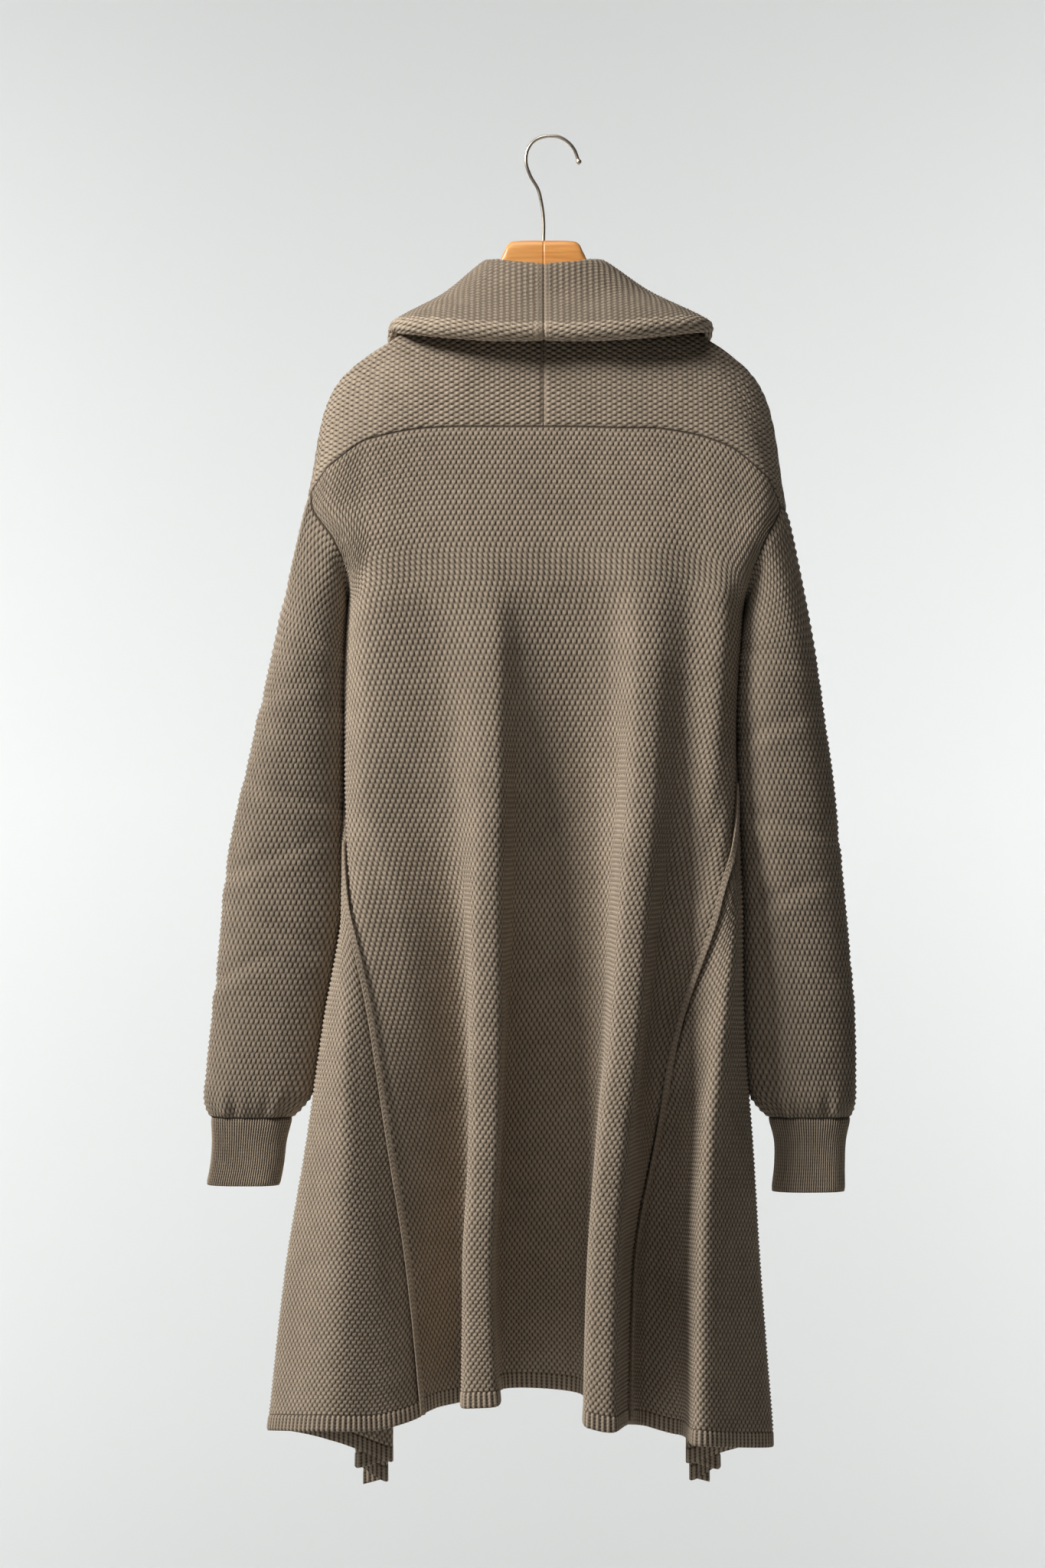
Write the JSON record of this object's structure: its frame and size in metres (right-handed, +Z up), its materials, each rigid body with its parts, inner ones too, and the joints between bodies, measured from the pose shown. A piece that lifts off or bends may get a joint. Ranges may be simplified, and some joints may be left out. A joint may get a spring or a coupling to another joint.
{
  "type": "open-front cardigan on a hanger",
  "caption": "Long chunky-knit open-front cardigan with a shawl collar, waterfall fronts and long ribbed cuffs, hanging on a curved wooden hanger with a wire hook.",
  "frame": {"origin": "underside of the hook's arc, where the rail that holds the hanger touches it", "axes": "+Z up, +X to the right and +Y away from the viewer as the picture shows the garment, whose back faces -Y"},
  "size_m": [0.52, 0.1609, 1.0907],
  "materials": {
    "knit": "chunky knitted wool blend, taupe, matte",
    "rib": "ribbed knit of the same taupe yarn, matte",
    "selvedge": "smooth knitted selvedge of the same yarn, matte",
    "wood": "orange-tan varnished wood, satin",
    "hook": "warm plated steel wire, satin"
  },
  "bodies": {
    "root": {"hanger_wood": "wood", "hanger_hook": "hook", "back": "knit", "front_left": "knit", "front_right": "knit", "yoke_left": "knit", "yoke_right": "knit", "sleeve_left": "knit", "sleeve_right": "knit", "collar_left": "rib", "collar_right": "rib", "back_hem": "rib", "front_hem_left": "rib", "front_hem_right": "rib", "cuff_left": "rib", "cuff_right": "rib", "seam_left": "selvedge", "seam_right": "selvedge"}
  },
  "joints": []
}
